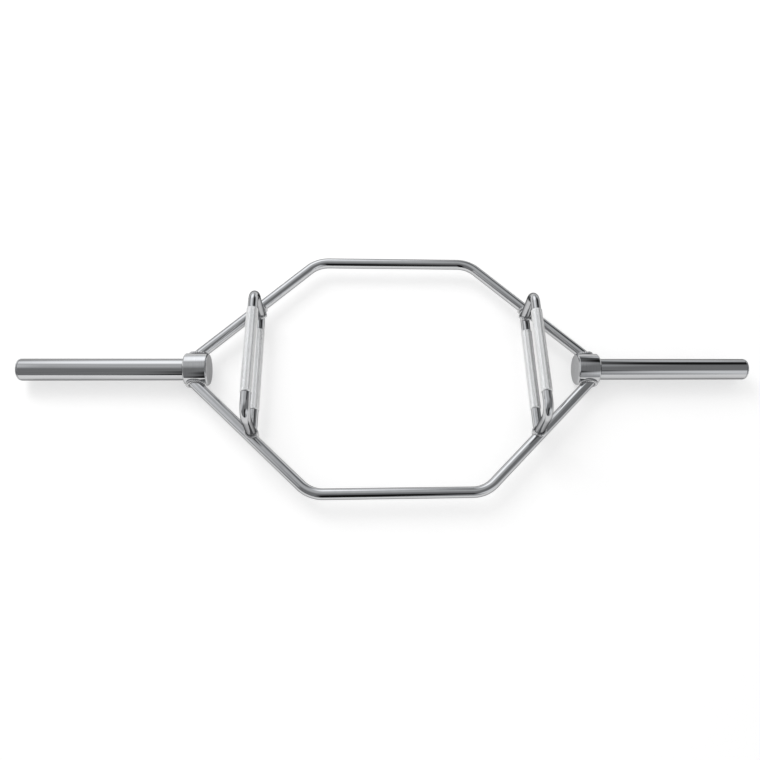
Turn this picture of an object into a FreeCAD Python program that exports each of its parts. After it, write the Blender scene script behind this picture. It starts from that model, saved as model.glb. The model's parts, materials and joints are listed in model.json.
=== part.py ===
import FreeCAD, Part
import enum
import math
import os

import Sketcher

# A hex trap bar: a six-sided frame of bent round bar that the lifter stands in, with two heights of
# handle and a turning sleeve for weight plates at each side.
# +X runs along the sleeves to the lifter's right, +Y to the rear, +Z up. The origin is on the floor
# under the middle of the frame, and the sleeve axis lies in the frame's middle plane.

# Driving dimensions in millimetres: name, value, what it measures
SIZES = [
    ("hub_spacing", 864, "between the inner faces of the two hubs"),
    ("hub_diameter", 75, "outside of a hub"),
    ("hub_length", 54, "hub along the sleeve axis"),
    ("hub_chamfer", 3, "bevel on both ends of a hub"),
    ("hub_bore_depth", 42, "depth of the blind bore that holds the spindle"),
    ("frame_bar_diameter", 25, "round bar of the frame"),
    ("corner_spacing", 382, "between the sharp corners of the front or rear bar"),
    ("frame_depth", 608, "between the centre lines of the front and rear bars"),
    ("corner_bend_radius", 70, "centre line of the frame's bends"),
    ("bar_seat", 28, "from a hub's inner face to where a frame bar's centre line meets its side"),
    ("handle_spacing", 648, "between the centre lines of the left and right handles"),
    ("handle_bar_diameter", 22, "round bar of the handles"),
    ("grip_wall", 2, "knurled sleeve of a grip round its handle bar"),
    ("grip_margin", 19.5, "plain bar between a raised grip and its handle's bends"),
    ("grip_chamfer", 0.8, "bevel on both ends of a grip"),
    ("raised_height", 110, "raised handle's centre line above the frame's middle plane"),
    ("leg_inset", 17.5, "from an unshifted raised handle's leg to the end of the lower bar's centre line"),
    ("raised_shift", 8.5, "how far forward of the middle the raised handles stand"),
    ("leg_foot", 4, "lowest part of a leg above the frame's middle plane"),
    ("handle_bend_radius", 30, "centre line of a raised handle's bends"),
    ("sleeve_diameter", 50, "outside of a sleeve, for plates with a two inch hole"),
    ("sleeve_length", 364.5, "sleeve tube along its axis"),
    ("sleeve_bore", 36, "inside of a sleeve between its bushings"),
    ("sleeve_chamfer", 1, "bevel on both ends of a sleeve"),
    ("bushing_diameter", 38, "outside of a bushing and the seat bored for it"),
    ("bushing_length", 40, "bushing along its axis"),
    ("spindle_diameter", 28, "shaft that a sleeve turns on"),
    ("spindle_chamfer", 1, "bevel on both ends of a spindle"),
    ("running_clearance", 0.05, "gap between spindle and bushing all round"),
    ("axial_play", 0.3, "gap at each end of a sleeve that lets it turn"),
    ("thrust_washer_step", 1, "thrust washer below the sleeve's outside"),
    ("thrust_washer_thickness", 1.5, "thrust washer between hub and sleeve"),
    ("thrust_recess_clearance", 0.3, "recess for the thrust washer beyond the sleeve's outside"),
    ("retaining_washer_gap", 1.5, "gap between a retaining washer and its sleeve all round"),
    ("retaining_washer_thickness", 4, "retaining washer that holds a sleeve on"),
    ("washer_clearance", 0.25, "gap between a washer's hole and its shaft all round"),
    ("bolt_diameter", 12, "shank of a retaining bolt"),
    ("bolt_length", 30, "retaining bolt under its head"),
    ("bolt_head_width", 19, "across the flats of a bolt head"),
    ("bolt_head_height", 7.5, "height of a bolt head"),
    ("bolt_hole_runout", 4, "room below a bolt in its hole"),
    ("cap_rim", 4, "thickness of an end cap outside its sleeve"),
    ("cap_spigot", 10, "length of an end cap inside its sleeve"),
    ("cap_step", 0.3, "rim of an end cap below the sleeve's outside"),
    ("cap_chamfer", 1.5, "bevel on an end cap"),
    ("cap_room", 4, "space between a bolt head and the end cap"),
    ("hub_weld", 5, "reach of the weld between frame bar and hub"),
    ("handle_weld", 4, "reach of the welds at the handle ends"),
]

# Places along the sleeve axis, measured from the middle of the frame
HUB_RADIUS = "(Sizes.hub_diameter / 2)"
AXIS_HEIGHT = HUB_RADIUS
HUB_INNER = "(Sizes.hub_spacing / 2)"
HUB_OUTER = f"({HUB_INNER} + Sizes.hub_length)"
SLEEVE_START = f"({HUB_OUTER} + Sizes.axial_play)"
SLEEVE_END = f"({SLEEVE_START} + Sizes.sleeve_length)"
BOLT_ROOM = "(Sizes.retaining_washer_thickness + Sizes.bolt_head_height + Sizes.cap_room)"
SPINDLE_START = f"({HUB_OUTER} - Sizes.hub_bore_depth)"
SPINDLE_END = f"({SLEEVE_END} - Sizes.cap_spigot - {BOLT_ROOM})"
SPINDLE_LENGTH = f"({SPINDLE_END} - {SPINDLE_START})"
OUTER_BUSHING_END = f"({SPINDLE_END} - Sizes.axial_play)"
BOLT_SEAT = f"({SPINDLE_END} + Sizes.retaining_washer_thickness)"

# Radii about the sleeve axis
SPINDLE_RADIUS = "(Sizes.spindle_diameter / 2)"
BUSHING_RADIUS = "(Sizes.bushing_diameter / 2)"
SLEEVE_RADIUS = "(Sizes.sleeve_diameter / 2)"

# Slanted runs of the frame, from the sharp corner to the hub's side
FRAME_BAR_RADIUS = "(Sizes.frame_bar_diameter / 2)"
CORNER_X = "(Sizes.corner_spacing / 2)"
CORNER_Y = "(Sizes.frame_depth / 2)"
SEAT_X = f"({HUB_INNER} + Sizes.bar_seat)"
SEAT_Y = HUB_RADIUS
RUN_SLOPE = f"(({SEAT_X} - {CORNER_X}) / ({CORNER_Y} - {SEAT_Y}))"
RUN_END_Y = f"({HUB_RADIUS} / 2)"
RUN_END_X = f"({SEAT_X} + ({SEAT_Y} - {RUN_END_Y}) * {RUN_SLOPE})"

# Handles
HANDLE_X = "(Sizes.handle_spacing / 2)"
HANDLE_BAR_RADIUS = "(Sizes.handle_bar_diameter / 2)"
HANDLE_REACH = f"({CORNER_Y} - ({HANDLE_X} - {CORNER_X}) / {RUN_SLOPE})"
LEG_Y = f"({HANDLE_REACH} - Sizes.leg_inset)"
GRIP_RADIUS = f"({HANDLE_BAR_RADIUS} + Sizes.grip_wall)"
GRIP_LENGTH = f"(2 * ({LEG_Y} - Sizes.handle_bend_radius - Sizes.grip_margin))"
RAISED_Z = f"({AXIS_HEIGHT} + Sizes.raised_height)"

SIDES = {"left": -1, "right": 1}
X_AXIS = FreeCAD.Vector(1, 0, 0)
Y_AXIS = FreeCAD.Vector(0, 1, 0)
Z_AXIS = FreeCAD.Vector(0, 0, 1)
ORIGIN = FreeCAD.Vector(0, 0, 0)

# How a primitive that stands on Z is turned to lie along another axis
ALONG_X = FreeCAD.Rotation(Y_AXIS, 90)
ALONG_Y = FreeCAD.Rotation(X_AXIS, -90)
ALONG_Z = FreeCAD.Rotation(Z_AXIS, 0)


class SketchAxis(enum.IntEnum):
    """Geometry numbers of a sketch's own axes. The first one starts at the sketch's origin."""

    X = -1
    Y = -2


class LinePoint(enum.IntEnum):
    """Numbers of the points that a rule of a sketch can hold on a line, an arc or a circle."""

    START = 1
    END = 2
    CENTRE = 3


START, END, CENTRE = LinePoint

doc = FreeCAD.newDocument("hex_trap_bar")
sheet = doc.addObject("Spreadsheet::Sheet", "Sizes")
nodes = []


def fill_sheet():
    """Write each driving dimension to its own named cell, with its meaning beside it."""
    for row, (name, size, meaning) in enumerate(SIZES, start=1):
        sheet.set(f"A{row}", meaning)
        sheet.set(f"B{row}", str(size))
        sheet.setAlias(f"B{row}", name)
    doc.recompute()


def value(formula):
    """The number that a formula of the sheet gives."""
    return float(sheet.evalExpression(formula))


def bind(piece, formulas):
    """Tie properties of a piece to formulas of the sheet."""
    for name, formula in formulas.items():
        piece.setExpression(name, formula)


def as_node(piece, label):
    """Give a finished sub-part its name and put it on the list of pieces to write."""
    piece.Label = label
    nodes.append(piece)
    return piece


def sketch_on(body, role, name):
    """An empty sketch on one of a body's own origin planes."""
    plane = next(feature for feature in body.Origin.OriginFeatures if feature.Role == role)
    sketch = body.newObject("Sketcher::SketchObject", name)
    sketch.AttachmentSupport = [(plane, "")]
    sketch.MapMode = "FlatFace"
    return sketch


def fix_distance(sketch, kind, axis, line, point, formula):
    """Hold one end of a line at a distance from the sketch's origin, or on the axis where that is zero."""
    distance = value(formula)
    if distance == 0:
        sketch.addConstraint(Sketcher.Constraint("PointOnObject", line, point, axis))
        return
    rule = Sketcher.Constraint(kind, SketchAxis.X, START, line, point, distance)
    bind(sketch, {f"Constraints[{sketch.addConstraint(rule)}]": formula})


def turned(name, outline):
    """A body turned about its own X axis from an outline of (along, radius) formulas."""
    body = doc.addObject("PartDesign::Body", name)
    sketch = sketch_on(body, "XY_Plane", f"{name}_outline")
    points = [FreeCAD.Vector(value(along), value(radius), 0) for along, radius in outline]
    for start, end in zip(points, points[1:] + points[:1]):
        sketch.addGeometry(Part.LineSegment(start, end))
    for line, (along, radius) in enumerate(outline):
        before = (line - 1) % len(outline)
        sketch.addConstraint(Sketcher.Constraint("Coincident", before, END, line, START))
        fix_distance(sketch, "DistanceX", SketchAxis.Y, line, START, along)
        fix_distance(sketch, "DistanceY", SketchAxis.X, line, START, radius)
    turn = body.newObject("PartDesign::Revolution", f"{name}_turn")
    turn.Profile = sketch
    turn.ReferenceAxis = (sketch, ["H_Axis"])
    turn.Angle = 360
    return body


def place_on_axis(body, side, station):
    """Set a turned body at its station on the sleeve axis, facing outwards on its side."""
    body.Placement = FreeCAD.Placement(ORIGIN, FreeCAD.Rotation(Z_AXIS, 0 if side > 0 else 180))
    bind(body, {"Placement.Base.x": f"{side} * {station}", "Placement.Base.z": AXIS_HEIGHT})


def bent_path(body, role, name, end, corner, bend_radius):
    """A middle run, two equal bends and two end runs, mirrored about the sketch's Y axis."""
    path = sketch_on(body, role, name)
    end_x, end_y = (value(formula) for formula in end)
    corner_x, corner_y = (value(formula) for formula in corner)
    radius = value(bend_radius)
    turn = math.atan2(corner_y - end_y, end_x - corner_x)
    tangent = radius * math.tan(turn / 2)
    flat_x = corner_x - tangent
    slant_x = corner_x + tangent * math.cos(turn)
    slant_y = corner_y - tangent * math.sin(turn)
    top = math.pi / 2
    left_bend = Part.Circle(FreeCAD.Vector(-flat_x, corner_y - radius, 0), Z_AXIS, radius)
    right_bend = Part.Circle(FreeCAD.Vector(flat_x, corner_y - radius, 0), Z_AXIS, radius)
    left_run, left_arc, middle, right_arc, right_run, right_corner, left_corner = range(7)
    path.addGeometry([
        Part.LineSegment(FreeCAD.Vector(-end_x, end_y, 0), FreeCAD.Vector(-slant_x, slant_y, 0)),
        Part.ArcOfCircle(left_bend, top, top + turn),
        Part.LineSegment(FreeCAD.Vector(-flat_x, corner_y, 0), FreeCAD.Vector(flat_x, corner_y, 0)),
        Part.ArcOfCircle(right_bend, top - turn, top),
        Part.LineSegment(FreeCAD.Vector(slant_x, slant_y, 0), FreeCAD.Vector(end_x, end_y, 0)),
    ])
    path.addGeometry(Part.Point(FreeCAD.Vector(corner_x, corner_y, 0)), True)
    path.addGeometry(Part.Point(FreeCAD.Vector(-corner_x, corner_y, 0)), True)
    path.addConstraint([
        Sketcher.Constraint("Tangent", left_run, END, left_arc, END),
        Sketcher.Constraint("Tangent", left_arc, START, middle, START),
        Sketcher.Constraint("Tangent", middle, END, right_arc, END),
        Sketcher.Constraint("Tangent", right_arc, START, right_run, START),
        Sketcher.Constraint("Horizontal", middle),
        Sketcher.Constraint("Equal", left_arc, right_arc),
        Sketcher.Constraint("PointOnObject", right_corner, START, right_run),
        Sketcher.Constraint("PointOnObject", right_corner, START, middle),
        Sketcher.Constraint("PointOnObject", left_corner, START, left_run),
        Sketcher.Constraint("Symmetric", right_corner, START, left_corner, START, SketchAxis.Y),
        Sketcher.Constraint("Symmetric", left_run, START, right_run, END, SketchAxis.Y),
    ])
    rule = path.addConstraint(Sketcher.Constraint("Radius", left_arc, radius))
    bind(path, {f"Constraints[{rule}]": bend_radius})
    fix_distance(path, "DistanceX", SketchAxis.Y, right_corner, START, corner[0])
    fix_distance(path, "DistanceY", SketchAxis.X, right_corner, START, corner[1])
    fix_distance(path, "DistanceX", SketchAxis.Y, right_run, END, end[0])
    fix_distance(path, "DistanceY", SketchAxis.X, right_run, END, end[1])
    doc.recompute()
    return path


def bent_bar(name, role, end, corner, bend_radius, bar_radius):
    """A body of round bar along a bent path."""
    body = doc.addObject("PartDesign::Body", name)
    path = bent_path(body, role, f"{name}_path", end, corner, bend_radius)
    section = body.newObject("Sketcher::SketchObject", f"{name}_section")
    section.AttachmentSupport = [(path, "Edge1")]
    section.MapMode = "NormalToEdge"
    section.addGeometry(Part.Circle(ORIGIN, Z_AXIS, value(bar_radius)))
    section.addConstraint(Sketcher.Constraint("Coincident", 0, CENTRE, SketchAxis.X, START))
    rule = section.addConstraint(Sketcher.Constraint("Radius", 0, value(bar_radius)))
    bind(section, {f"Constraints[{rule}]": bar_radius})
    doc.recompute()
    pipe = body.newObject("PartDesign::AdditivePipe", f"{name}_pipe")
    pipe.Profile = section
    pipe.Spine = (path, [f"Edge{number}" for number in range(1, len(path.Shape.Edges) + 1)])
    return body


def cylinder(name, radius, length, turn, base):
    """A plain round bar from a base point, along the axis that its turn gives."""
    piece = doc.addObject("Part::Cylinder", name)
    piece.Placement = FreeCAD.Placement(ORIGIN, turn)
    bind(piece, {"Radius": radius, "Height": length})
    bind(piece, {f"Placement.Base.{axis}": formula for axis, formula in zip("xyz", base)})
    return piece


def cut(name, base, tool):
    """What is left of one piece where another is taken away."""
    piece = doc.addObject("Part::Cut", name)
    piece.Base = base
    piece.Tool = tool
    return piece


def common(name, base, tool):
    """The space that two pieces share."""
    piece = doc.addObject("Part::Common", name)
    piece.Base = base
    piece.Tool = tool
    return piece


def fuse(name, base, tool):
    """Two pieces joined into one."""
    piece = doc.addObject("Part::Fuse", name)
    piece.Base = base
    piece.Tool = tool
    return piece


def group(name, pieces):
    """Several pieces kept together, each a solid of its own."""
    piece = doc.addObject("Part::Compound", name)
    piece.Links = pieces
    return piece


def mirrored(name, source, normal):
    """The other-hand copy of a piece, across a plane through the middle of the frame."""
    piece = doc.addObject("Part::Mirroring", name)
    piece.Source = source
    piece.Normal = normal
    return piece


def make_frame_bars():
    """The front and rear bars, bent alike and trimmed to the round sides of the hubs."""
    hub_line = cylinder("hub_line", HUB_RADIUS, f"2 * {SLEEVE_END}", ALONG_X,
                        (f"-{SLEEVE_END}", "0", AXIS_HEIGHT))
    bars = {}
    for name, turn in (("rear", 0), ("front", 180)):
        bar = bent_bar(f"{name}_bar", "XY_Plane", (RUN_END_X, RUN_END_Y), (CORNER_X, CORNER_Y),
                       "Sizes.corner_bend_radius", FRAME_BAR_RADIUS)
        bar.Placement = FreeCAD.Placement(ORIGIN, FreeCAD.Rotation(Z_AXIS, turn))
        bind(bar, {"Placement.Base.z": AXIS_HEIGHT})
        as_node(cut(f"{name}_trimmed", bar, hub_line), f"{name}_frame_bar")
        bars[name] = bar
    return bars, hub_line


def make_hub(side_name, side):
    """A thick housing, bevelled at both ends, with a recess for the thrust washer and a blind bore."""
    bevelled = f"({HUB_RADIUS} - Sizes.hub_chamfer)"
    recess = f"({SLEEVE_RADIUS} + Sizes.thrust_recess_clearance)"
    recess_floor = "(Sizes.hub_length - Sizes.thrust_washer_thickness)"
    bottom = "(Sizes.hub_length - Sizes.hub_bore_depth)"
    hub = turned(f"{side_name}_hub", [
        ("0", "0"),
        ("0", bevelled),
        ("Sizes.hub_chamfer", HUB_RADIUS),
        ("Sizes.hub_length - Sizes.hub_chamfer", HUB_RADIUS),
        ("Sizes.hub_length", bevelled),
        ("Sizes.hub_length", recess),
        (recess_floor, recess),
        (recess_floor, SPINDLE_RADIUS),
        (bottom, SPINDLE_RADIUS),
        (bottom, "0"),
    ])
    place_on_axis(hub, side, HUB_INNER)
    as_node(hub, f"{side_name}_hub")


def make_spindle(side_name, side):
    """The fixed shaft from the bottom of the hub's bore to the retaining washer, drilled for its bolt."""
    bevelled = f"({SPINDLE_RADIUS} - Sizes.spindle_chamfer)"
    hole = "(Sizes.bolt_diameter / 2)"
    depth = "(Sizes.bolt_length - Sizes.retaining_washer_thickness + Sizes.bolt_hole_runout)"
    spindle = turned(f"{side_name}_spindle", [
        ("0", "0"),
        ("0", bevelled),
        ("Sizes.spindle_chamfer", SPINDLE_RADIUS),
        (f"{SPINDLE_LENGTH} - Sizes.spindle_chamfer", SPINDLE_RADIUS),
        (SPINDLE_LENGTH, bevelled),
        (SPINDLE_LENGTH, hole),
        (f"{SPINDLE_LENGTH} - {depth}", hole),
        (f"{SPINDLE_LENGTH} - {depth}", "0"),
    ])
    place_on_axis(spindle, side, SPINDLE_START)
    as_node(spindle, f"{side_name}_spindle")


def make_sleeve(side_name, side):
    """The plate-loading tube, bored wider at both ends so that each bushing seats on a shoulder."""
    bevelled = f"({SLEEVE_RADIUS} - Sizes.sleeve_chamfer)"
    bore = "(Sizes.sleeve_bore / 2)"
    outer_shoulder = f"({OUTER_BUSHING_END} - Sizes.bushing_length - {SLEEVE_START})"
    sleeve = turned(f"{side_name}_sleeve", [
        ("0", BUSHING_RADIUS),
        ("0", bevelled),
        ("Sizes.sleeve_chamfer", SLEEVE_RADIUS),
        ("Sizes.sleeve_length - Sizes.sleeve_chamfer", SLEEVE_RADIUS),
        ("Sizes.sleeve_length", bevelled),
        ("Sizes.sleeve_length", BUSHING_RADIUS),
        (outer_shoulder, BUSHING_RADIUS),
        (outer_shoulder, bore),
        ("Sizes.bushing_length", bore),
        ("Sizes.bushing_length", BUSHING_RADIUS),
    ])
    place_on_axis(sleeve, side, SLEEVE_START)
    as_node(sleeve, f"{side_name}_sleeve")


def make_ring(label, side, station, length, outside, inside):
    """A plain ring about the sleeve axis."""
    ring = turned(label, [("0", inside), ("0", outside), (length, outside), (length, inside)])
    place_on_axis(ring, side, station)
    as_node(ring, label)


def make_bearings(side_name, side):
    """The two bushings that turn with the sleeve, and the thrust washer that stays in the hub."""
    inside = f"({SPINDLE_RADIUS} + Sizes.running_clearance)"
    stations = {"inner": SLEEVE_START, "outer": f"({OUTER_BUSHING_END} - Sizes.bushing_length)"}
    for place, station in stations.items():
        make_ring(f"{side_name}_{place}_bushing", side, station, "Sizes.bushing_length",
                  BUSHING_RADIUS, inside)
    make_ring(f"{side_name}_thrust_washer", side, f"({HUB_OUTER} - Sizes.thrust_washer_thickness)",
              "Sizes.thrust_washer_thickness", f"({SLEEVE_RADIUS} - Sizes.thrust_washer_step)",
              f"({SPINDLE_RADIUS} + Sizes.washer_clearance)")


def make_end_cap(side_name, side):
    """The plug that closes a sleeve, with a bevelled rim a little below the sleeve's outside."""
    rim = f"({SLEEVE_RADIUS} - Sizes.cap_step)"
    outside = "(Sizes.cap_spigot + Sizes.cap_rim)"
    cap = turned(f"{side_name}_end_cap", [
        ("0", "0"),
        ("0", f"{BUSHING_RADIUS} - Sizes.cap_chamfer"),
        ("Sizes.cap_chamfer", BUSHING_RADIUS),
        ("Sizes.cap_spigot", BUSHING_RADIUS),
        ("Sizes.cap_spigot", rim),
        (f"{outside} - Sizes.cap_chamfer", rim),
        (outside, f"{rim} - Sizes.cap_chamfer"),
        (outside, "0"),
    ])
    place_on_axis(cap, side, f"({SLEEVE_END} - Sizes.cap_spigot)")
    as_node(cap, f"{side_name}_end_cap")


def make_retainers():
    """The washer and hexagon bolt at the end of each spindle, one node for both sides of each."""
    disc = cylinder("retainer_disc", f"{BUSHING_RADIUS} - Sizes.retaining_washer_gap",
                    "Sizes.retaining_washer_thickness", ALONG_X, (SPINDLE_END, "0", AXIS_HEIGHT))
    hole = cylinder("retainer_hole", "Sizes.bolt_diameter / 2 + Sizes.washer_clearance",
                    "Sizes.retaining_washer_thickness", ALONG_X, (SPINDLE_END, "0", AXIS_HEIGHT))
    washer = cut("retaining_washer", disc, hole)
    as_node(group("both_washers", [washer, mirrored("left_washer", washer, X_AXIS)]), "retaining_washers")

    head = doc.addObject("Part::Prism", "bolt_head")
    head.Polygon = 6
    head.Placement = FreeCAD.Placement(ORIGIN, ALONG_X)
    bind(head, {"Circumradius": "Sizes.bolt_head_width / sqrt(3)", "Height": "Sizes.bolt_head_height"})
    bind(head, {"Placement.Base.x": BOLT_SEAT, "Placement.Base.z": AXIS_HEIGHT})
    shank = cylinder("bolt_shank", "Sizes.bolt_diameter / 2", "Sizes.bolt_length", ALONG_X,
                     (f"{BOLT_SEAT} - Sizes.bolt_length", "0", AXIS_HEIGHT))
    bolt = fuse("retaining_bolt", head, shank)
    as_node(group("both_bolts", [bolt, mirrored("left_bolt", bolt, X_AXIS)]), "retaining_bolts")


def make_grip(label, side, height, shift="0"):
    """A knurled sleeve on the middle of a handle, bevelled at both ends."""
    bevelled = f"({GRIP_RADIUS} - Sizes.grip_chamfer)"
    grip = turned(label, [
        ("0", HANDLE_BAR_RADIUS),
        ("0", bevelled),
        ("Sizes.grip_chamfer", GRIP_RADIUS),
        (f"{GRIP_LENGTH} - Sizes.grip_chamfer", GRIP_RADIUS),
        (GRIP_LENGTH, bevelled),
        (GRIP_LENGTH, HANDLE_BAR_RADIUS),
    ])
    grip.Placement = FreeCAD.Placement(ORIGIN, FreeCAD.Rotation(Z_AXIS, 90))
    bind(grip, {
        "Placement.Base.x": f"{side} * {HANDLE_X}",
        "Placement.Base.y": f"-{GRIP_LENGTH} / 2 - {shift}",
        "Placement.Base.z": height,
    })
    as_node(grip, label)


def make_handles(side_name, side, frame_bars):
    """The straight lower bar and the bent raised bar of one side, each with its grip."""
    lower = cylinder(f"{side_name}_lower_bar", HANDLE_BAR_RADIUS, f"2 * {HANDLE_REACH}", ALONG_Y,
                     (f"{side} * {HANDLE_X}", f"-{HANDLE_REACH}", AXIS_HEIGHT))
    raised = bent_bar(f"{side_name}_raised_bar", "YZ_Plane", (LEG_Y, f"{AXIS_HEIGHT} + Sizes.leg_foot"),
                      (LEG_Y, RAISED_Z), "Sizes.handle_bend_radius", HANDLE_BAR_RADIUS)
    bind(raised, {"Placement.Base.x": f"{side} * {HANDLE_X}", "Placement.Base.y": "-Sizes.raised_shift"})
    frame_tool = group(f"{side_name}_lower_trim", frame_bars)
    as_node(cut(f"{side_name}_lower_trimmed", lower, frame_tool), f"{side_name}_lower_handle_bar")
    leg_tool = group(f"{side_name}_leg_trim", frame_bars + [lower])
    as_node(cut(f"{side_name}_raised_trimmed", raised, leg_tool), f"{side_name}_raised_handle_bar")
    make_grip(f"{side_name}_lower_grip", side, AXIS_HEIGHT)
    make_grip(f"{side_name}_raised_grip", side, RAISED_Z, "Sizes.raised_shift")
    return lower, raised


def slanted_run(name, reach):
    """The rear bar's right slanted run, grown by a weld's reach, from the sharp corner into the hub."""
    run = cylinder(name, f"{FRAME_BAR_RADIUS} + {reach}",
                   f"sqrt(({RUN_END_X} - {CORNER_X})^2 + ({CORNER_Y} - {RUN_END_Y})^2)",
                   FreeCAD.Rotation(X_AXIS, 90), (CORNER_X, CORNER_Y, AXIS_HEIGHT))
    bind(run, {
        "Placement.Rotation.Axis.x": f"{CORNER_Y} - {RUN_END_Y}",
        "Placement.Rotation.Axis.y": f"{RUN_END_X} - {CORNER_X}",
    })
    return run


def make_weld_nodes(name, right_beads):
    """Repeat the welds of the right side at the left, one node for each side."""
    right = group(f"{name}_right", right_beads)
    as_node(right, f"right_{name}")
    as_node(mirrored(f"{name}_left", right, X_AXIS), f"left_{name}")


def make_hub_welds(rear_bar, hub_line):
    """Beads round the frame bars where they stand on the hubs, kept to the hubs' unbevelled length."""
    run = slanted_run("hub_weld_run", "Sizes.hub_weld")
    band = cylinder("hub_weld_band", f"{HUB_RADIUS} + Sizes.hub_weld",
                    "Sizes.hub_length - 2 * Sizes.hub_chamfer", ALONG_X,
                    (f"{HUB_INNER} + Sizes.hub_chamfer", "0", AXIS_HEIGHT))
    space = common("hub_weld_space", run, band)
    bead = cut("hub_weld_bead", space, group("hub_weld_bars", [hub_line, rear_bar]))
    make_weld_nodes("hub_welds", [bead, mirrored("hub_weld_front", bead, Y_AXIS)])


def make_handle_welds(frame_bars, lower, raised):
    """Beads round the ends of the right lower bar and the legs that stand beside them."""
    reach = f"({HANDLE_BAR_RADIUS} + Sizes.handle_weld)"
    rear_run = slanted_run("rear_weld_run", "Sizes.handle_weld")
    runs = {"rear": rear_run, "front": mirrored("front_weld_run", rear_run, Y_AXIS)}
    stations = {"rear": f"({LEG_Y} - Sizes.raised_shift)", "front": f"(-{LEG_Y} - Sizes.raised_shift)"}
    bar = cylinder("handle_weld_bar", reach, f"2 * {HANDLE_REACH}", ALONG_Y,
                   (HANDLE_X, f"-{HANDLE_REACH}", AXIS_HEIGHT))
    beads = []
    for name, run in runs.items():
        leg = cylinder(f"{name}_weld_leg", reach, "Sizes.raised_height / 2", ALONG_Z,
                       (HANDLE_X, stations[name], f"{AXIS_HEIGHT} + Sizes.leg_foot"))
        space = fuse(f"{name}_weld_space", common(f"{name}_bar_weld", run, bar),
                     common(f"{name}_leg_weld", leg, fuse(f"{name}_leg_seat", run, bar)))
        metal = group(f"{name}_weld_bars", [frame_bars[name], lower, raised])
        beads.append(cut(f"{name}_weld_bead", space, metal))
    make_weld_nodes("handle_welds", beads)


def check_and_write():
    """Stop if anything failed to build, then write one file for each sub-part."""
    doc.recompute()
    failed = [piece.Label for piece in doc.Objects if {"Invalid", "Error"} & set(piece.State)]
    failed += [node.Label for node in nodes if node.Shape.isNull() or not node.Shape.isValid()]
    if failed:
        raise RuntimeError(f"these pieces failed to build: {failed}")
    os.makedirs("parts", exist_ok=True)
    for node in nodes:
        node.Shape.exportStep(os.path.join("parts", f"{node.Label}.step"))
        print(f"{node.Label}: {len(node.Shape.Solids)} solid(s), {node.Shape.Volume / 1000:.1f} cm3")


fill_sheet()
frame_bars, hub_line = make_frame_bars()
handle_bars = {}
for side_name, side in SIDES.items():
    make_hub(side_name, side)
    make_spindle(side_name, side)
    make_bearings(side_name, side)
    make_sleeve(side_name, side)
    make_end_cap(side_name, side)
    handle_bars[side_name] = make_handles(side_name, side, list(frame_bars.values()))
make_retainers()
make_hub_welds(frame_bars["rear"], hub_line)
make_handle_welds(frame_bars, *handle_bars["right"])
check_and_write()
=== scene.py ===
import json
import math

import bmesh
import bpy
import numpy as np
from mathutils import Euler, Matrix, Vector


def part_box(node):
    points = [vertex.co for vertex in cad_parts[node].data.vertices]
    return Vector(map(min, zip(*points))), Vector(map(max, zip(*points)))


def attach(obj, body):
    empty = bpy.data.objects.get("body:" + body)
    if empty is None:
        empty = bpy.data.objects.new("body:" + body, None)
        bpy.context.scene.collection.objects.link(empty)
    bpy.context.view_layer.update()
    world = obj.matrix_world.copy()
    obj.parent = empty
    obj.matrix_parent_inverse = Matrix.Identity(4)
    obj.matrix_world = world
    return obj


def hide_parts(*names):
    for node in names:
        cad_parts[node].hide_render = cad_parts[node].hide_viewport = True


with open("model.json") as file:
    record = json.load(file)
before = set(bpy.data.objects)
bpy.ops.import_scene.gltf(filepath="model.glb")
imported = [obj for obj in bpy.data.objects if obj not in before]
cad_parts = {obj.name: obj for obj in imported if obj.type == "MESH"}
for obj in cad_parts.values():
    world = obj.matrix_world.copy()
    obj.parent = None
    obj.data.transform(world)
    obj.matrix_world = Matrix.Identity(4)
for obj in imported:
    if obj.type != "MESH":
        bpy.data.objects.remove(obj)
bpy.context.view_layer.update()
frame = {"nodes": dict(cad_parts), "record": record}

# Lengths are in metres. X runs along the sleeves, Y to the rear and Z up; the origin is on the floor.
ALONG_X = np.array((1.0, 0.0, 0.0))
ALONG_Y = np.array((0.0, 1.0, 0.0))
ALONG_Z = np.array((0.0, 0.0, 1.0))
LEFT_AND_RIGHT = (("left", -1), ("right", 1))
FRONT_AND_REAR = (("front", -1), ("rear", 1))

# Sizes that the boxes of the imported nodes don't give
CORNER_X = 0.191            # where the middle and slanted runs of a frame bar would cross
CORNER_BEND = 0.070         # bend radius of the frame bars' centre line
BAR_SEAT = 0.028            # from a hub's inner face to where a frame bar's centre line meets its side
LEG_BEND = 0.030            # bend radius of a raised handle's centre line
HUB_CHAMFER = 0.003
THRUST_RECESS = 0.0015      # depth of the hub's recess for the thrust washer
THRUST_RECESS_RADIUS = 0.0253
SLEEVE_BORE_RADIUS = 0.018
SLEEVE_CHAMFER = 0.001
CAP_SPIGOT_RADIUS = 0.01795
CAP_CHAMFER = 0.0015

# How finely the pieces are modelled
BAR_SIDES = 64
TURNED_SIDES = 128
BEND_STEPS = 28
EDGE_STEPS = 5
SHARP_ANGLE = math.radians(32)
LEG_CUT = 0.050             # a leg is plain from its bend down to this height above the frame's middle plane
LOWER_CUT = 0.9             # a lower handle bar is plain up to this share of its half length

# Softened edges of the turned pieces
HUB_EDGE = 0.0008
SLEEVE_EDGE = 0.0006
CAP_EDGE = 0.0005
LONGEST_EDGE = 0.4          # a softened edge takes at most this share of the lines that meet there

# Knurl
GRIP_DIAMONDS = 48          # diamonds around a grip
KNURL_DEPTH = 0.00026
GRIP_END = 0.0012           # plain chamfer at each end of the knurl
GRIP_LIP = 0.2              # share of the chamfer that is cut off square at the bar
GRIP_FOOT = 0.55            # height of that cut, as a share of the way from the bar to the grooves

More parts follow.
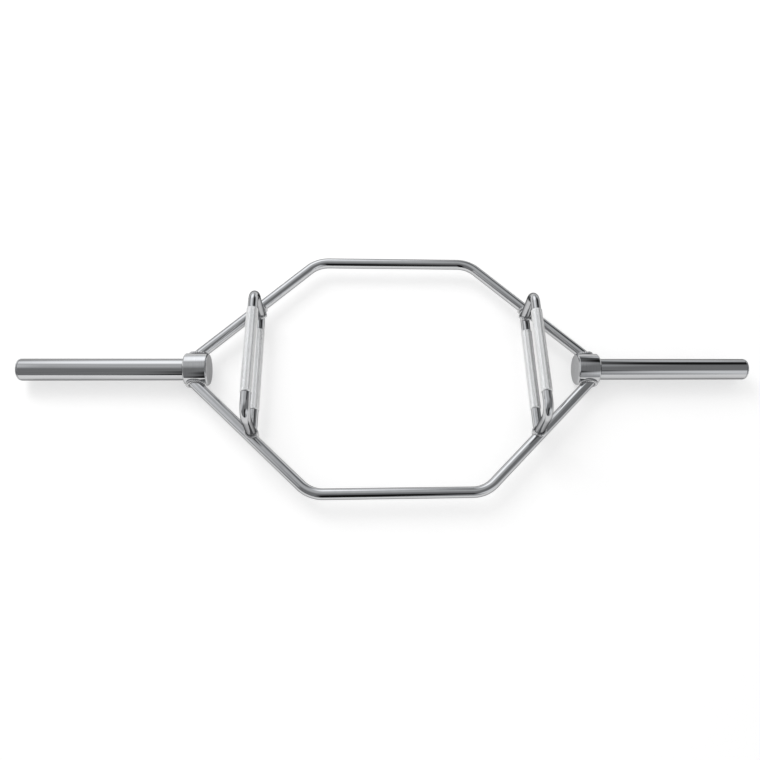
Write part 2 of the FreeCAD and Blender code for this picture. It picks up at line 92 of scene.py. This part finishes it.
# Weld beads
HUB_BEAD = 0.0044           # radius of the beads round the frame bars' ends
HANDLE_BEAD = 0.0037        # radius of the beads round the handles' ends
BEAD_SIDES = 20
BEAD_STEPS = 10             # rings of a bead for each of its ripples
BEAD_PITCH = 0.0042         # length of one ripple
BEAD_RIPPLE = 0.16          # depth of a ripple, as a share of the bead's radius
BEAD_LEAN = 0.3             # how far a ripple curves ahead, as a share of its length
BEAD_OFFSET = 0.35          # bead's middle off the seam, as a share of its radius
SLOW_WANDER = 0.08          # uneven width of a bead, twice around it
QUICK_WANDER = 0.06         # and five times around it

# Light
ROOM_LIGHT = 0.75           # light of the white room on the object; seen directly, the room is white
FLOOR_SIZE = 60
FLOOR_TONE = 0.62
NEAR_GLOW = 0.45            # added where the floor is seen directly, close to the object
FAR_GLOW = 0.55             # and far from it, where the key lamp's light has faded
FADE_START = 1.0            # distances from the origin between which the glow grows
FADE_END = 3.0
KEY_PLACE = Vector((-1.6, 2.2, 2.4))
KEY_SIZE = 2.4
KEY_POWER = 55
TENT_RADIUS = 9
TENT_COLOUR = (0.965, 0.98, 1.0, 1)
TENT_LEVEL = 0.25
TENT_DARKEST = 0.012
TENT_BRIGHTEST = 2

# Soft boxes add light to the tent and flags take some away. Each has its degrees to the right of the rear,
# its degrees up, the half widths in degrees at which it is full and gone, and its level.
TENT_LIGHTS = {
    "rear_glow": (15, 5, 25, 55, 0.35),
    "rear_left_box": (-20, 30, 5, 30, 0.95),
    "overhead_box": (-30, 60, 10, 48, 0.40),
    "rear_right_flag": (30, 35, 5, 30, -0.50),
    "rear_right_strip": (30, 15, 3, 12, 0.55),
    "front_flag": (170, 0, 10, 35, -0.50),
    "front_high_flag": (175, 35, 10, 25, -0.25),
    "front_right_box": (145, 5, 25, 40, 0.70),
    "left_box": (-85, 25, 20, 35, 0.60),
}

# Camera, worked out from the photograph
PHOTO_SIZE = 760.0          # pixels
FOCAL_LENGTH = 694.31       # pixels
OPTICAL_CENTRE = (417.0, 392.37)
CAMERA_DISTANCE = 1.61787
CAMERA_ELEVATION = math.radians(63.74)
CAMERA_YAW = math.radians(-9.54)
CAMERA_ROLL = math.radians(8.4)
CAMERA_TARGET = Vector((0.04829, -0.06049, 0.0375))

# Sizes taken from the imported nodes
hub_low, hub_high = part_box("right_hub")
sleeve_low, sleeve_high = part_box("right_sleeve")
cap_low, cap_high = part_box("right_end_cap")
rear_low, rear_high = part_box("rear_frame_bar")
handle_low, handle_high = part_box("right_lower_handle_bar")
raised_low, raised_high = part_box("right_raised_handle_bar")

axis_z = (hub_low.z + hub_high.z) / 2
hub_radius = (hub_high.z - hub_low.z) / 2
sleeve_radius = (sleeve_high.z - sleeve_low.z) / 2
cap_radius = (cap_high.z - cap_low.z) / 2
bar_radius = (rear_high.z - rear_low.z) / 2
handle_x = (handle_low.x + handle_high.x) / 2
handle_radius = (handle_high.x - handle_low.x) / 2
raised_z = raised_high.z - handle_radius
front_leg_y = raised_low.y + handle_radius
rear_leg_y = raised_high.y - handle_radius
bar_seat = np.array((hub_low.x + BAR_SEAT, hub_radius))
bar_corner = np.array((CORNER_X, rear_high.y - bar_radius))

body_of = {node: body for body, nodes in frame["record"]["behaviour"]["bodies"].items() for node in nodes}
slot_of = {part["node"]: part["material_slot"] for part in frame["record"]["subparts"]}


# Meshes

def unit(vectors):
    """Vectors scaled to length one."""
    return vectors / np.linalg.norm(vectors, axis=-1, keepdims=True)


def ring_faces(rings, sides, closed=False):
    """Four-sided faces between neighbouring rings of points."""
    faces = []
    for ring in range(rings if closed else rings - 1):
        here = ring * sides
        there = (ring + 1) % rings * sides
        for side in range(sides):
            after = (side + 1) % sides
            faces.append((here + side, here + after, there + after, there + side))
    return faces


def make_piece(name, points, faces, material, flat=False):
    """A mesh object with its normals outward, smooth except at sharp edges."""
    mesh = bpy.data.meshes.new(name)
    mesh.from_pydata(np.asarray(points).reshape(-1, 3).tolist(), [], faces)
    work = bmesh.new()
    work.from_mesh(mesh)
    bmesh.ops.recalc_face_normals(work, faces=work.faces)
    work.to_mesh(mesh)
    work.free()
    mesh.polygons.foreach_set("use_smooth", [not flat] * len(mesh.polygons))
    if not flat:
        mesh.set_sharp_from_angle(angle=SHARP_ANGLE)
    mesh.materials.append(material)
    piece = bpy.data.objects.new(name, mesh)
    bpy.context.scene.collection.objects.link(piece)
    return piece


def stand_for(piece, node):
    """Put a piece in place of a CAD node: the piece joins the node's body and the node is hidden."""
    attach(piece, body_of[node])
    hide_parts(node)


def soften(outline, radius):
    """An outline of (along, radius) points with its corners turned into small arcs."""
    soft = []
    count = len(outline)
    for index, point in enumerate(outline):
        corner = np.array(point)
        before = np.array(outline[index - 1]) - corner
        after = np.array(outline[(index + 1) % count]) - corner
        if corner[1] == 0:
            soft.append(corner)
            continue
        shortest = min(np.linalg.norm(before), np.linalg.norm(after))
        reach = min(radius, LONGEST_EDGE * shortest)
        start = corner + reach * unit(before)
        end = corner + reach * unit(after)
        for step in np.linspace(0, 1, EDGE_STEPS + 1):
            soft.append((1 - step) ** 2 * start + 2 * step * (1 - step) * corner + step ** 2 * end)
    return soft


def turned(name, outline, side, material, edge):
    """A piece turned about the sleeve axis from a closed outline of (distance from the middle, radius)."""
    angles = np.linspace(0, 2 * np.pi, TURNED_SIDES, endpoint=False)
    points = []
    rings = []
    for along, radius in soften(outline, edge):
        around = angles if radius > 0 else angles[:1]
        rings.append([len(points) + k for k in range(len(around))])
        for angle in around:
            points.append((side * along, radius * np.cos(angle), axis_z + radius * np.sin(angle)))
    faces = []
    for ring, following in zip(rings, rings[1:] + rings[:1]):
        if len(ring) == 1 and len(following) == 1:
            continue
        for k in range(TURNED_SIDES):
            after = (k + 1) % TURNED_SIDES
            corners = [ring[k % len(ring)], ring[after % len(ring)]]
            corners += [following[after % len(following)], following[k % len(following)]]
            faces.append(tuple(dict.fromkeys(corners)))
    return make_piece(name, points, faces, material)


def bent_path(end, corner, bend):
    """A bent bar's flat centre line as (u, v) points, the same on both sides of its middle."""
    end = np.array(end)
    corner = np.array(corner)
    run = unit(corner - end)
    middle = np.array((-np.sign(corner[0]), 0.0))
    turn = math.acos(run @ middle)
    start = corner - run * bend * math.tan(turn / 2)
    inward = unit(middle - run * (run @ middle))
    angles = np.linspace(0, turn, BEND_STEPS + 1)[:, None]
    arc = start + bend * (np.sin(angles) * run + (1 - np.cos(angles)) * inward)
    half = np.vstack([end, arc])
    return np.vstack([half, half[::-1] * (-1, 1)])


def first_hit(points, direction, tube):
    """How far points go along a direction to the near side of a tube of (centre, axis, radius)."""
    centre, axis, radius = tube
    across = direction - axis * (direction @ axis)
    offset = points - centre
    offset = offset - (offset @ axis)[:, None] * axis
    half = offset @ across
    rest = np.sum(offset ** 2, axis=1) - radius ** 2
    square = across @ across
    return (-half - np.sqrt(np.maximum(half ** 2 - square * rest, 0))) / square


def sweep(path, flat_normal, radius, tubes):
    """Rings of a round bar along a flat path, its two ends cut to fit the tubes that each one meets."""
    runs = unit(np.diff(path, axis=0))
    along = unit(np.vstack([runs[:1], runs[:-1] + runs[1:], runs[-1:]]))
    sideways = np.cross(along, flat_normal)
    angles = np.linspace(0, 2 * np.pi, BAR_SIDES, endpoint=False)[:, None]
    rings = path[:, None] + radius * (np.cos(angles) * flat_normal + np.sin(angles) * sideways[:, None])
    for end, direction in ((0, -runs[0]), (-1, runs[-1])):
        reach = np.min([first_hit(rings[end], direction, tube) for tube in tubes[end]], axis=0)
        rings[end] += reach[:, None] * direction
    return rings


def bar_piece(name, rings, material):
    """A closed bar from the rings of a sweep."""
    count = len(rings)
    points = np.vstack([rings.reshape(-1, 3), rings[0].mean(axis=0), rings[-1].mean(axis=0)])
    faces = ring_faces(count, BAR_SIDES)
    last = (count - 1) * BAR_SIDES
    for side in range(BAR_SIDES):
        after = (side + 1) % BAR_SIDES
        faces.append((side, after, len(points) - 2))
        faces.append((last + side, last + after, len(points) - 1))
    return make_piece(name, points, faces, material)


def loop_reach(loop):
    """The way round a closed loop, from its first point to each point and back."""
    steps = np.linalg.norm(np.diff(np.vstack([loop, loop[:1]]), axis=0), axis=1)
    return np.concatenate([[0], np.cumsum(steps)])


def even_loop(loop, count):
    """Points at even distances round a closed loop."""
    closed = np.vstack([loop, loop[:1]])
    reach = loop_reach(loop)
    places = np.linspace(0, reach[-1], count, endpoint=False)
    return np.stack([np.interp(places, reach, closed[:, axis]) for axis in range(3)], axis=1)


def bead(loop, direction, radius, start):
    """Rings of a rippled weld bead laid round the end of a bar that runs in a direction."""
    centre = loop.mean(axis=0)
    offset = loop - centre
    outward = unit(offset - (offset @ direction)[:, None] * direction)
    ripples = round(loop_reach(loop)[-1] / BEAD_PITCH)
    path = even_loop(loop + BEAD_OFFSET * radius * (outward - direction), ripples * BEAD_STEPS)
    along = unit(np.roll(path, -1, axis=0) - np.roll(path, 1, axis=0))
    offset = path - centre
    outward = offset - np.sum(offset * along, axis=1)[:, None] * along
    outward = unit(outward - (outward @ direction)[:, None] * direction)
    outward = unit(outward - np.sum(outward * along, axis=1)[:, None] * along)
    upward = np.cross(along, outward)
    turn = np.linspace(0, 2 * np.pi, len(path), endpoint=False)[:, None]
    angles = np.linspace(0, 2 * np.pi, BEAD_SIDES, endpoint=False)
    phase = (turn * ripples / (2 * np.pi) + BEAD_LEAN * np.cos(angles)) % 1
    swell = 1 - BEAD_RIPPLE * (2 * phase - 1) ** 2
    wander = 1 + SLOW_WANDER * np.sin(2 * turn + start) + QUICK_WANDER * np.sin(5 * turn + 2 * start)
    spread = (radius * swell * wander)[:, :, None]
    return path[:, None] + spread * (np.cos(angles)[:, None] * outward[:, None]
                                     + np.sin(angles)[:, None] * upward[:, None])


def bead_piece(name, beads, material):
    """One piece of several closed weld beads."""
    points = []
    faces = []
    for rings in beads:
        first = len(points)
        points.extend(rings.reshape(-1, 3))
        for face in ring_faces(len(rings), BEAD_SIDES, closed=True):
            faces.append(tuple(first + corner for corner in face))
    return make_piece(name, points, faces, material)


def knurl_rings(low_y, high_y, crest):
    """Rings of a grip as (y, radius of the even points, radius of the odd points), from end to end."""
    groove = crest - KNURL_DEPTH
    foot = handle_radius + GRIP_FOOT * (groove - handle_radius)
    lip = GRIP_LIP * GRIP_END
    step = math.pi * crest / GRIP_DIAMONDS
    rows = 2 * round((high_y - low_y - 2 * GRIP_END) / step / 2) + 1
    rings = [(low_y + lip, handle_radius, handle_radius), (low_y + lip, foot, foot)]
    for row, y in enumerate(np.linspace(low_y + GRIP_END, high_y - GRIP_END, rows)):
        radii = [groove, groove]
        if 0 < row < rows - 1:
            radii[row % 2] = crest
        rings.append((y, *radii))
    return rings + [(high_y - lip, foot, foot), (high_y - lip, handle_radius, handle_radius)]


def grip_piece(name, node, material):
    """A knurled sleeve along Y: pyramids between two sets of slanted grooves, and a chamfer at each end."""
    low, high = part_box(node)
    centre = (low + high) / 2
    rings = knurl_rings(low.y, high.y, (high.z - low.z) / 2)
    sides = 2 * GRIP_DIAMONDS
    points = []
    for y, even, odd in rings:
        for side in range(sides):
            angle = 2 * math.pi * side / sides
            radius = odd if side % 2 else even
            points.append((centre.x + radius * math.cos(angle), y, centre.z + radius * math.sin(angle)))
    faces = []
    for index, (a, b, c, d) in enumerate(ring_faces(len(rings), sides, closed=True)):
        row, side = divmod(index, sides)
        faces.extend([(a, b, d), (b, c, d)] if (row + side) % 2 else [(a, b, c), (a, c, d)])
    return make_piece(name, points, faces, material, flat=True)


# Shader nodes

def add_node(tree, kind, **settings):
    """A shader node with some of its settings changed."""
    made = tree.nodes.new(kind)
    for key, value in settings.items():
        setattr(made, key, value)
    return made


def noise(tree, scale, detail, rough=0.5, stretch=(1, 1, 1)):
    """Noise on the object's own coordinates, stretched along its axes."""
    place = add_node(tree, "ShaderNodeTexCoord")
    mapping = add_node(tree, "ShaderNodeMapping")
    mapping.inputs["Scale"].default_value = stretch
    texture = add_node(tree, "ShaderNodeTexNoise")
    texture.inputs["Scale"].default_value = scale
    texture.inputs["Detail"].default_value = detail
    texture.inputs["Roughness"].default_value = rough
    tree.links.new(place.outputs["Object"], mapping.inputs["Vector"])
    tree.links.new(mapping.outputs["Vector"], texture.inputs["Vector"])
    return texture.outputs["Fac"]


def remap(tree, value, lowest, highest, start, end, blend="LINEAR"):
    """A value moved from one range to another, and kept within it."""
    made = add_node(tree, "ShaderNodeMapRange", interpolation_type=blend)
    for name, number in zip(("From Min", "From Max", "To Min", "To Max"), (lowest, highest, start, end)):
        made.inputs[name].default_value = number
    tree.links.new(value, made.inputs["Value"])
    return made.outputs["Result"]


def ramp(tree, value, stops):
    """A value turned into a colour between two stops of (value, colour)."""
    made = add_node(tree, "ShaderNodeValToRGB")
    for element, (place, colour) in zip(made.color_ramp.elements, stops):
        element.position = place
        element.color = (*colour, 1)
    tree.links.new(value, made.inputs["Fac"])
    return made.outputs["Color"]


def combine(tree, operation, first, second):
    """Two values put together by one operation."""
    made = add_node(tree, "ShaderNodeMath", operation=operation)
    tree.links.new(first, made.inputs[0])
    tree.links.new(second, made.inputs[1])
    return made.outputs["Value"]


def add_bump(tree, height, depth):
    """Make a material uneven by a height, on top of the bumps that it has already."""
    shader = tree.nodes["Principled BSDF"]
    bump = add_node(tree, "ShaderNodeBump")
    bump.inputs["Distance"].default_value = depth
    tree.links.new(height, bump.inputs["Height"])
    for normal in [link.from_socket for link in shader.inputs["Normal"].links]:
        tree.links.new(normal, bump.inputs["Normal"])
    tree.links.new(bump.outputs["Normal"], shader.inputs["Normal"])


# Materials of the object

MARK_RANGE = (0.3, 0.62)    # noise at which the fine marks are darkest and lightest
WEAR_RANGE = (0.14, 0.40)   # smudges times marks, where a metal has its least and most roughness
GRAIN_RANGE = (0.3, 0.7)    # noise at which a plastic's grain is darkest and lightest
GRAIN_DEPTH = 0.00004
RING_WANDER = 0.4           # how uneven the lathe's rings are
RING_PITCH = 0.0012
RING_DEPTH = 0.00003


def metal(name, tones, gloss, marks, dents, metallic=1.0, edge=1.0):
    """A metal with smudges, fine marks and an uneven surface.

    tones are the darkest and lightest colour, gloss the least and most roughness, marks the stretch of the
    fine marks on each axis, dents the scale and depth of the uneven surface, and edge how much of the
    reflection is left at a glancing angle.
    """
    material = bpy.data.materials.new(name)
    material.use_nodes = True
    tree = material.node_tree
    shader = tree.nodes["Principled BSDF"]
    shader.inputs["Metallic"].default_value = metallic
    shader.inputs["Specular Tint"].default_value = (edge, edge, edge, 1)
    smudge = noise(tree, scale=26, detail=5, rough=0.6)
    mark = noise(tree, scale=1, detail=4, rough=0.65, stretch=marks)
    wear = combine(tree, "MULTIPLY", smudge, mark)
    tree.links.new(ramp(tree, mark, zip(MARK_RANGE, tones)), shader.inputs["Base Color"])
    tree.links.new(remap(tree, wear, *WEAR_RANGE, *gloss), shader.inputs["Roughness"])
    add_bump(tree, noise(tree, scale=dents[0], detail=3), dents[1])
    return material


def plastic(name, tones, gloss):
    """A plain plastic with a fine moulded grain, from its darkest and lightest colour and roughness."""
    material = bpy.data.materials.new(name)
    material.use_nodes = True
    tree = material.node_tree
    shader = tree.nodes["Principled BSDF"]
    grain = noise(tree, scale=700, detail=4)
    tree.links.new(ramp(tree, grain, zip(GRAIN_RANGE, tones)), shader.inputs["Base Color"])
    tree.links.new(remap(tree, grain, *GRAIN_RANGE, *gloss), shader.inputs["Roughness"])
    add_bump(tree, grain, GRAIN_DEPTH)
    return material


def add_turn_marks(material):
    """Fine rings that the lathe left on a face across the sleeve axis."""
    tree = material.node_tree
    place = add_node(tree, "ShaderNodeTexCoord")
    centred = add_node(tree, "ShaderNodeMapping")
    centred.inputs["Location"].default_value = (0, 0, -axis_z)
    rings = add_node(tree, "ShaderNodeTexWave", wave_type="RINGS", rings_direction="X")
    # Blender's wave comes again after pi / (10 * scale)
    rings.inputs["Scale"].default_value = math.pi / (10 * RING_PITCH)
    rings.inputs["Distortion"].default_value = RING_WANDER
    tree.links.new(place.outputs["Object"], centred.inputs["Vector"])
    tree.links.new(centred.outputs["Vector"], rings.inputs["Vector"])
    add_bump(tree, rings.outputs["Fac"], RING_DEPTH)


LIGHT_CHROME = (0.58, 0.583, 0.59)
RUBBED_CHROME = (0.52, 0.525, 0.535)

bar_chrome = metal(
    "bright_chrome", tones=((0.54, 0.545, 0.555), LIGHT_CHROME), gloss=(0.02, 0.07),
    marks=(60, 60, 240), dents=(70, 0.00001), edge=0.10,
)
sleeve_chrome = metal(
    "sleeve_chrome", tones=(RUBBED_CHROME, LIGHT_CHROME), gloss=(0.03, 0.10),
    marks=(6, 420, 420), dents=(50, 0.00001), edge=0.10,
)
hub_chrome = metal(
    "hub_chrome", tones=((0.53, 0.535, 0.545), LIGHT_CHROME), gloss=(0.02, 0.08),
    marks=(420, 40, 40), dents=(60, 0.00001), edge=0.5,
)
cap_chrome = metal(
    "cap_chrome", tones=(RUBBED_CHROME, LIGHT_CHROME), gloss=(0.24, 0.38),
    marks=(420, 420, 420), dents=(60, 0.00001),
)
add_turn_marks(cap_chrome)
knurl_chrome = metal(
    "knurled_chrome", tones=((0.78, 0.78, 0.78), (0.97, 0.97, 0.97)), gloss=(0.07, 0.20),
    marks=(600, 600, 600), dents=(900, 0.00004), metallic=0.88, edge=0.3,
)
weld_chrome = metal(
    "weld_chrome", tones=((0.50, 0.50, 0.51), (0.62, 0.62, 0.62)), gloss=(0.06, 0.24),
    marks=(400, 400, 400), dents=(420, 0.00010),
)

# Materials of the inner pieces, by material slot
inner_materials = {
    "machined_steel": metal(
        "machined_steel", tones=((0.42, 0.42, 0.43), (0.56, 0.56, 0.57)), gloss=(0.22, 0.40),
        marks=(900, 60, 60), dents=(500, 0.00003),
    ),
    "bearing_bronze": metal(
        "bearing_bronze", tones=((0.40, 0.22, 0.09), (0.58, 0.36, 0.16)), gloss=(0.28, 0.45),
        marks=(500, 500, 500), dents=(600, 0.00004),
    ),
    "zinc_steel": metal(
        "zinc_steel", tones=((0.52, 0.53, 0.54), (0.68, 0.69, 0.71)), gloss=(0.24, 0.42),
        marks=(300, 300, 300), dents=(400, 0.00004),
    ),
    "nylon": plastic("nylon", tones=((0.62, 0.61, 0.57), (0.72, 0.71, 0.67)), gloss=(0.38, 0.52)),
}


# Frame bars

def make_frame_bar(name, rear):
    """One bent frame bar; its two beads, left and right, are handed back for the hubs."""
    flat = bent_path(bar_seat * (-1, 1), bar_corner * (-1, 1), CORNER_BEND)
    path = np.stack([flat[:, 0], rear * flat[:, 1], np.full(len(flat), axis_z)], axis=1)
    hub_tube = (ALONG_Z * axis_z, ALONG_X, hub_radius)
    rings = sweep(path, ALONG_Z, bar_radius, {0: [hub_tube], -1: [hub_tube]})
    stand_for(bar_piece(f"{name}_bar_bent", rings, bar_chrome), f"{name}_frame_bar")
    runs = unit(np.diff(path, axis=0))
    left_bead = bead(rings[0], -runs[0], HUB_BEAD, rear)
    right_bead = bead(rings[-1], runs[-1], HUB_BEAD, 2 * rear)
    return left_bead, right_bead


frame_bar_beads = [make_frame_bar(name, rear) for name, rear in FRONT_AND_REAR]


# Hubs, sleeves, end caps and the hubs' beads

def make_hub(name, side):
    """A thick housing with a recess for the thrust washer in its outer face."""
    bevelled = hub_radius - HUB_CHAMFER
    recess_floor = hub_high.x - THRUST_RECESS
    outline = [
        (hub_low.x, 0), (hub_low.x, bevelled), (hub_low.x + HUB_CHAMFER, hub_radius),
        (hub_high.x - HUB_CHAMFER, hub_radius), (hub_high.x, bevelled), (hub_high.x, THRUST_RECESS_RADIUS),
        (recess_floor, THRUST_RECESS_RADIUS), (recess_floor, 0),
    ]
    stand_for(turned(f"{name}_hub_turned", outline, side, hub_chrome, HUB_EDGE), f"{name}_hub")


def make_sleeve(name, side):
    """The tube that the plates slide on."""
    bevelled = sleeve_radius - SLEEVE_CHAMFER
    outline = [
        (sleeve_low.x, SLEEVE_BORE_RADIUS), (sleeve_low.x, bevelled),
        (sleeve_low.x + SLEEVE_CHAMFER, sleeve_radius), (sleeve_high.x - SLEEVE_CHAMFER, sleeve_radius),
        (sleeve_high.x, bevelled), (sleeve_high.x, SLEEVE_BORE_RADIUS),
    ]
    stand_for(turned(f"{name}_sleeve_turned", outline, side, sleeve_chrome, SLEEVE_EDGE), f"{name}_sleeve")


def make_cap(name, side):
    """The cap at a sleeve's free end, with its spigot inside the sleeve."""
    outline = [
        (cap_low.x, 0), (cap_low.x, CAP_SPIGOT_RADIUS), (sleeve_high.x, CAP_SPIGOT_RADIUS),
        (sleeve_high.x, cap_radius), (cap_high.x - CAP_CHAMFER, cap_radius),
        (cap_high.x, cap_radius - CAP_CHAMFER), (cap_high.x, 0),
    ]
    stand_for(turned(f"{name}_cap_turned", outline, side, cap_chrome, CAP_EDGE), f"{name}_end_cap")


for (name, side), beads in zip(LEFT_AND_RIGHT, zip(*frame_bar_beads)):
    make_hub(name, side)
    make_sleeve(name, side)
    make_cap(name, side)
    stand_for(bead_piece(f"{name}_hub_beads", beads, weld_chrome), f"{name}_hub_welds")


# Handles, grips and the beads at their feet

def slanted_tube(side, rear):
    """The straight slanted run of a frame bar as (centre, axis, radius)."""
    seat = np.array((side * bar_seat[0], rear * bar_seat[1], axis_z))
    corner = np.array((side * bar_corner[0], rear * bar_corner[1], axis_z))
    return seat, unit(corner - seat), bar_radius


def lower_bar_rings(side, frame_tubes):
    """The straight handle bar between the front and rear frame bars."""
    places = (handle_low.y, LOWER_CUT * handle_low.y, LOWER_CUT * handle_high.y, handle_high.y)
    path = np.array((side * handle_x, 0.0, axis_z)) + np.outer(places, ALONG_Y)
    return sweep(path, ALONG_X, handle_radius, frame_tubes)


def raised_bar_rings(side, frame_tubes):
    """The bent handle bar whose legs stand on the frame bars and the lower handle bar."""
    half_length = (rear_leg_y - front_leg_y) / 2
    flat = bent_path((-half_length, axis_z + LEG_CUT), (-half_length, raised_z), LEG_BEND)
    flat[:, 0] += (rear_leg_y + front_leg_y) / 2
    path = np.stack([np.full(len(flat), side * handle_x), flat[:, 0], flat[:, 1]], axis=1)
    lower_tube = (np.array((side * handle_x, 0.0, axis_z)), ALONG_Y, handle_radius)
    foot_tubes = {end: tubes + [lower_tube] for end, tubes in frame_tubes.items()}
    return sweep(path, ALONG_X, handle_radius, foot_tubes)


for name, side in LEFT_AND_RIGHT:
    frame_tubes = {0: [slanted_tube(side, -1)], -1: [slanted_tube(side, 1)]}
    lower = lower_bar_rings(side, frame_tubes)
    raised = raised_bar_rings(side, frame_tubes)
    stand_for(bar_piece(f"{name}_lower_bar_cut", lower, bar_chrome), f"{name}_lower_handle_bar")
    stand_for(bar_piece(f"{name}_raised_bar_bent", raised, bar_chrome), f"{name}_raised_handle_bar")
    feet = ((lower[0], -ALONG_Y), (lower[-1], ALONG_Y), (raised[0], -ALONG_Z), (raised[-1], -ALONG_Z))
    beads = [bead(loop, direction, HANDLE_BEAD, 1 + foot) for foot, (loop, direction) in enumerate(feet)]
    stand_for(bead_piece(f"{name}_handle_beads", beads, weld_chrome), f"{name}_handle_welds")
    for level in ("lower", "raised"):
        node = f"{name}_{level}_grip"
        stand_for(grip_piece(f"{node}_knurled", node, knurl_chrome), node)

# Inner pieces stay as they were packed, with better materials

for node, slot in slot_of.items():
    if slot in inner_materials:
        frame["nodes"][node].material_slots[0].material = inner_materials[slot]


# Studio

def seen_directly(tree):
    """One on rays from the camera and through or off glossy surfaces, and nought on the rest."""
    path = add_node(tree, "ShaderNodeLightPath")
    shiny = combine(tree, "MAXIMUM", path.outputs["Is Glossy Ray"], path.outputs["Is Transmission Ray"])
    return combine(tree, "MAXIMUM", path.outputs["Is Camera Ray"], shiny)


def stage_material(name):
    """A new material and its output socket, with no shader yet."""
    material = bpy.data.materials.new(name)
    material.use_nodes = True
    tree = material.node_tree
    tree.nodes.remove(tree.nodes["Principled BSDF"])
    return material, tree.nodes["Material Output"].inputs["Surface"]


def make_room():
    """A white world that lights the object softly from all sides."""
    world = bpy.data.worlds.new("white_room")
    world.use_nodes = True
    tree = world.node_tree
    background = tree.nodes["Background"]
    background.inputs["Color"].default_value = (1, 1, 1, 1)
    tree.links.new(remap(tree, seen_directly(tree), 0, 1, ROOM_LIGHT, 1), background.inputs["Strength"])
    bpy.context.scene.world = world


def make_floor():
    """A white floor that keeps the object's shadow and is as white as the room far away."""
    bpy.ops.mesh.primitive_plane_add(size=FLOOR_SIZE)
    floor = bpy.context.object
    floor.name = "floor"
    paper, surface = stage_material("white_paper")
    tree = paper.node_tree
    diffuse = add_node(tree, "ShaderNodeBsdfDiffuse")
    diffuse.inputs["Color"].default_value = (FLOOR_TONE, FLOOR_TONE, FLOOR_TONE, 1)
    place = add_node(tree, "ShaderNodeTexCoord")
    distance = add_node(tree, "ShaderNodeVectorMath", operation="LENGTH")
    tree.links.new(place.outputs["Object"], distance.inputs[0])
    white = remap(tree, distance.outputs["Value"], FADE_START, FADE_END, NEAR_GLOW, FAR_GLOW, "SMOOTHSTEP")
    glow = add_node(tree, "ShaderNodeEmission")
    tree.links.new(combine(tree, "MULTIPLY", seen_directly(tree), white), glow.inputs["Strength"])
    both = add_node(tree, "ShaderNodeAddShader")
    tree.links.new(diffuse.outputs["BSDF"], both.inputs[0])
    tree.links.new(glow.outputs["Emission"], both.inputs[1])
    tree.links.new(both.outputs["Shader"], surface)
    floor.data.materials.append(paper)


def tent_light(tree, ray, turn, rise, full, gone, level):
    """What one soft box or flag adds to the tent's light along a ray from the tent's middle."""
    direction = Euler((math.radians(rise), 0, math.radians(-turn))).to_matrix() @ Vector((0, 1, 0))
    lean = add_node(tree, "ShaderNodeVectorMath", operation="DOT_PRODUCT")
    lean.inputs[1].default_value = direction
    tree.links.new(ray, lean.inputs[0])
    edge = math.cos(math.radians(gone))
    core = math.cos(math.radians(full))
    return remap(tree, lean.outputs["Value"], edge, core, 0, level, "SMOOTHSTEP")


def make_tent():
    """A grey tent with soft boxes and flags, which only the reflections in the metal show."""
    bpy.ops.mesh.primitive_uv_sphere_add(segments=64, ring_count=32, radius=TENT_RADIUS)
    tent = bpy.context.object
    tent.name = "tent"
    for kind in ("camera", "diffuse", "transmission", "shadow", "volume_scatter"):
        setattr(tent, f"visible_{kind}", False)
    cloth, surface = stage_material("tent_cloth")
    tree = cloth.node_tree
    place = add_node(tree, "ShaderNodeTexCoord")
    ray = add_node(tree, "ShaderNodeVectorMath", operation="NORMALIZE")
    tree.links.new(place.outputs["Object"], ray.inputs[0])
    lights = [tent_light(tree, ray.outputs["Vector"], *light) for light in TENT_LIGHTS.values()]
    total = lights[0]
    for light in lights[1:]:
        total = combine(tree, "ADD", total, light)
    lowest = TENT_DARKEST - TENT_LEVEL
    highest = TENT_BRIGHTEST - TENT_LEVEL
    glow = add_node(tree, "ShaderNodeEmission")
    glow.inputs["Color"].default_value = TENT_COLOUR
    tree.links.new(remap(tree, total, lowest, highest, TENT_DARKEST, TENT_BRIGHTEST), glow.inputs["Strength"])
    tree.links.new(glow.outputs["Emission"], surface)
    tent.data.materials.append(cloth)


def make_key():
    """A large soft lamp at the rear left. In the metal, the tent's soft boxes stand for it."""
    key = bpy.data.lights.new("key", "AREA")
    key.size = KEY_SIZE
    key.energy = KEY_POWER
    lamp = bpy.data.objects.new("key", key)
    lamp.location = KEY_PLACE
    lamp.rotation_euler = (-KEY_PLACE).to_track_quat("-Z", "Y").to_euler()
    lamp.visible_glossy = False
    bpy.context.scene.collection.objects.link(lamp)


def make_camera():
    """The camera at the photograph's angle, with the photograph's framing."""
    back = Vector((
        math.sin(CAMERA_YAW) * math.cos(CAMERA_ELEVATION),
        -math.cos(CAMERA_YAW) * math.cos(CAMERA_ELEVATION),
        math.sin(CAMERA_ELEVATION),
    ))
    level = (-back).cross(Vector((0, 0, 1))).normalized()
    upright = level.cross(-back)
    right = math.cos(CAMERA_ROLL) * level + math.sin(CAMERA_ROLL) * upright
    up = math.cos(CAMERA_ROLL) * upright - math.sin(CAMERA_ROLL) * level
    lens = bpy.data.cameras.new("camera")
    lens.lens = lens.sensor_width * FOCAL_LENGTH / PHOTO_SIZE
    lens.shift_x = (PHOTO_SIZE / 2 - OPTICAL_CENTRE[0]) / PHOTO_SIZE
    lens.shift_y = (OPTICAL_CENTRE[1] - PHOTO_SIZE / 2) / PHOTO_SIZE
    camera = bpy.data.objects.new("camera", lens)
    turn = Matrix((right, up, back)).transposed().to_4x4()
    camera.matrix_world = Matrix.Translation(CAMERA_TARGET + back * CAMERA_DISTANCE) @ turn
    bpy.context.scene.collection.objects.link(camera)
    bpy.context.scene.camera = camera


bpy.context.scene.view_settings.view_transform = "Standard"
make_room()
make_floor()
make_tent()
make_key()
make_camera()
